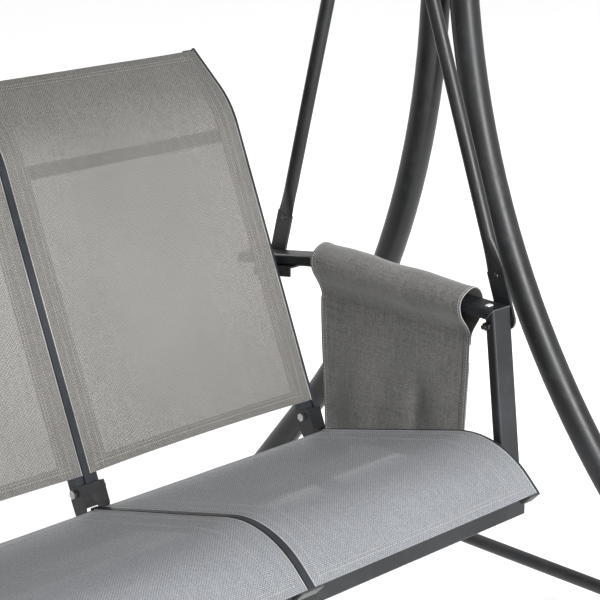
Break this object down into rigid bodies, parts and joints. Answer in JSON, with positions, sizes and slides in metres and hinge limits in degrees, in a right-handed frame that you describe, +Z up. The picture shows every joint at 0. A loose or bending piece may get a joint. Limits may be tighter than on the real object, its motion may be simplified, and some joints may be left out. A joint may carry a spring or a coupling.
{
  "type": "porch swing",
  "caption": "Free-standing porch swing: a slatless sling bench with arm pockets, hung by tubes from a bowed-leg frame, under a tilting fabric canopy.",
  "frame": {"origin": "on the floor, midway between the four feet", "axes": "+X to the sitter's left as seen from the front (right in a front view), +Y to the rear, +Z up; the seat faces -Y"},
  "size_m": [2.2458, 1.2478, 1.7093],
  "materials": {
    "frame_paint": "satin charcoal powder coat",
    "rail_paint": "satin blue-grey powder coat",
    "zinc": "zinc plated",
    "black_plastic": "moulded, matte",
    "seat_mesh": "coated polyester mesh, blue-grey",
    "back_mesh": "coated polyester mesh, warm grey",
    "pocket_fabric": "woven polyester, dark warm grey",
    "canopy_fabric": "woven polyester, charcoal grey"
  },
  "bodies": {
    "stand": {"canopy_brackets": "frame_paint", "flange_bolts": "zinc", "front_foot_left": "black_plastic", "front_foot_right": "black_plastic", "front_leg_left": "frame_paint", "front_leg_right": "frame_paint", "pivot_bolts": "zinc", "pivot_brackets": "frame_paint", "rear_foot_left": "black_plastic", "rear_foot_right": "black_plastic", "rear_leg_left": "frame_paint", "rear_leg_right": "frame_paint", "side_brace_left": "frame_paint", "side_brace_right": "frame_paint", "top_beam": "frame_paint"},
    "swing": {"arm_angle_bolts": "zinc", "arm_angles": "frame_paint", "arm_pocket_left": "pocket_fabric", "arm_pocket_right": "pocket_fabric", "arm_post_left": "frame_paint", "arm_post_right": "frame_paint", "armrest_left": "frame_paint", "armrest_right": "frame_paint", "back_rail_left_inner": "rail_paint", "back_rail_left_side": "rail_paint", "back_rail_right_inner": "rail_paint", "back_rail_right_side": "rail_paint", "back_sling_centre": "back_mesh", "back_sling_left": "back_mesh", "back_sling_right": "back_mesh", "back_spreader": "frame_paint", "front_hanger_left": "frame_paint", "front_hanger_right": "frame_paint", "front_seat_bar": "frame_paint", "hanger_bolts": "zinc", "hinge_bolts": "zinc", "hinge_brackets": "frame_paint", "nose_risers": "frame_paint", "pivot_bushes": "black_plastic", "rear_hanger_left": "frame_paint", "rear_hanger_right": "frame_paint", "rear_seat_bar": "frame_paint", "seat_rail_left_inner": "rail_paint", "seat_rail_left_side": "rail_paint", "seat_rail_right_inner": "rail_paint", "seat_rail_right_side": "rail_paint", "seat_sling_centre": "seat_mesh", "seat_sling_left": "seat_mesh", "seat_sling_right": "seat_mesh", "sleeve_stops": "zinc", "tube_end_plugs": "black_plastic"},
    "canopy": {"canopy_centre_bar": "frame_paint", "canopy_cover": "canopy_fabric", "canopy_front_bar": "frame_paint", "canopy_rear_bar": "frame_paint", "canopy_side_bar_left": "frame_paint", "canopy_side_bar_right": "frame_paint", "canopy_tabs": "frame_paint"},
    "knob_left": {"canopy_knob_left": "black_plastic"},
    "knob_right": {"canopy_knob_right": "black_plastic"}
  },
  "joints": [
    {"name": "swing_pivot", "type": "hinge", "parent": "stand", "child": "swing", "pos_m": [0, 0, 1.535], "axis": [1, 0, 0], "range_deg": [-20, 20]},
    {"name": "canopy_tilt", "type": "hinge", "parent": "stand", "child": "canopy", "pos_m": [0, 0, 1.665], "axis": [1, 0, 0], "range_deg": [-15, 15]},
    {"name": "knob_left_turn", "type": "hinge", "parent": "stand", "child": "knob_left", "pos_m": [-0.9575, 0, 1.665], "axis": [1, 0, 0], "continuous": true},
    {"name": "knob_right_turn", "type": "hinge", "parent": "stand", "child": "knob_right", "pos_m": [0.9575, 0, 1.665], "axis": [1, 0, 0], "continuous": true}
  ]
}
